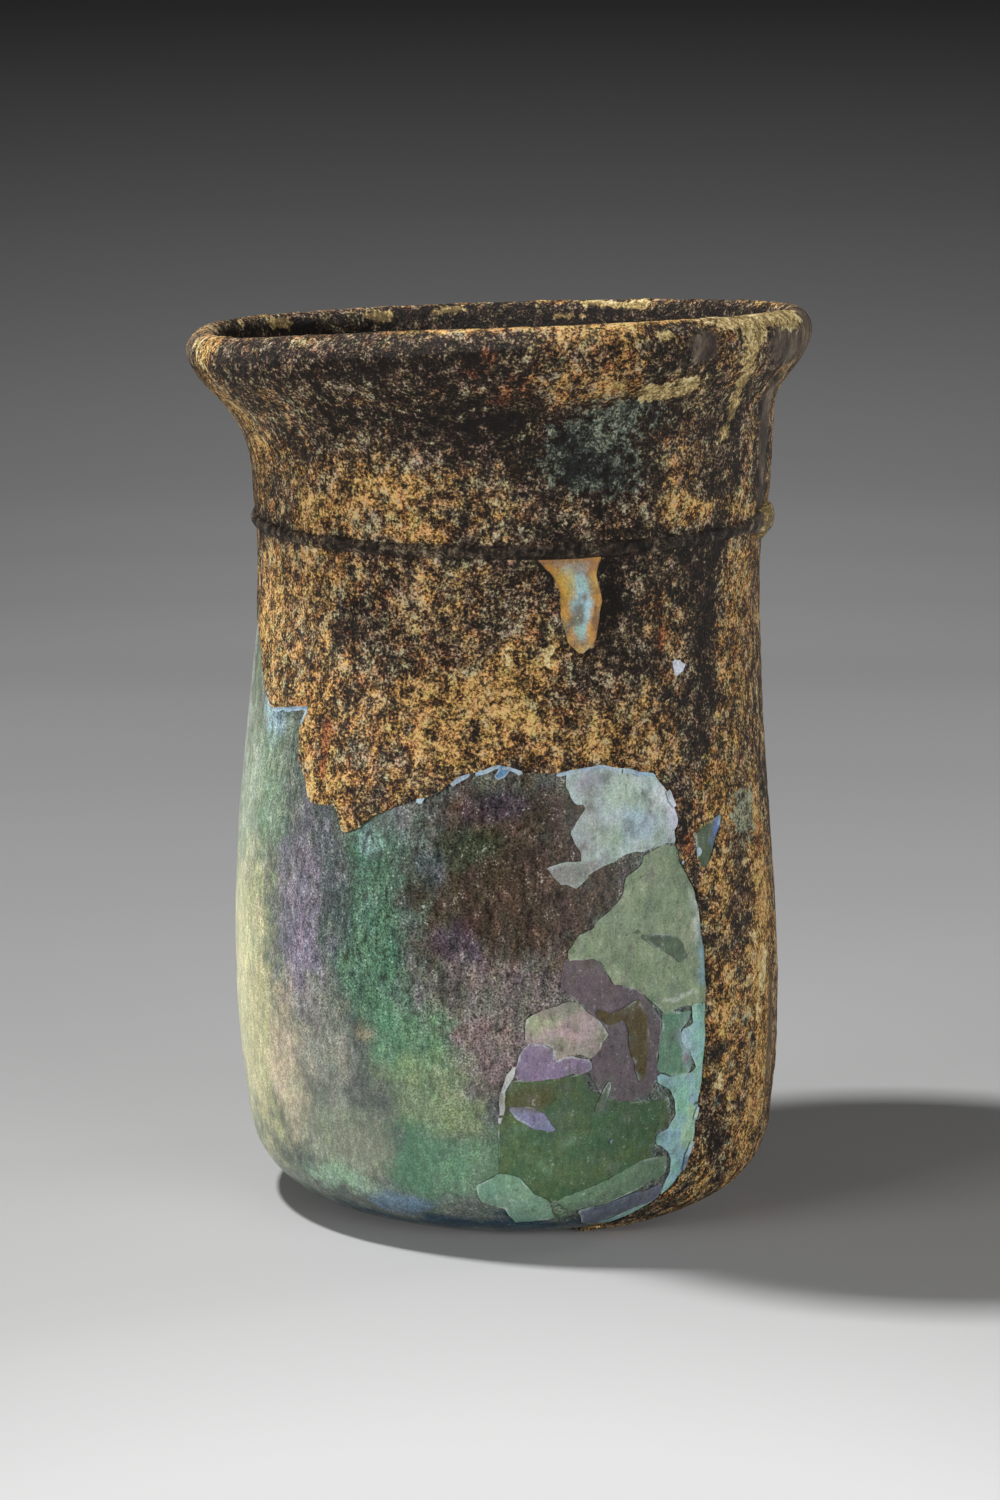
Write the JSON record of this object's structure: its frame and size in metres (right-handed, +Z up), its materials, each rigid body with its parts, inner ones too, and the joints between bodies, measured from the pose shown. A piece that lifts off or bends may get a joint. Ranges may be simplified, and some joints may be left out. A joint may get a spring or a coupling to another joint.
{
  "type": "glass beaker",
  "caption": "Ancient hand-blown glass beaker with a flared rim, a wound thread round its neck and a thick brown weathering crust that has flaked off one side.",
  "frame": {"origin": "centre of the box round the vessel, on the plane of its base", "axes": "+Z up along the vessel from its base to its mouth; +X to the right of the flaked side as the viewer sees it, where the thread's knob is; -Y towards that viewer"},
  "size_m": [0.0698, 0.0698, 0.101],
  "materials": {
    "ancient_glass": "gloss",
    "weathering_crust": "matte",
    "opal_film": "gloss"
  },
  "bodies": {
    "root": {"beaker": "ancient_glass"}
  },
  "joints": []
}
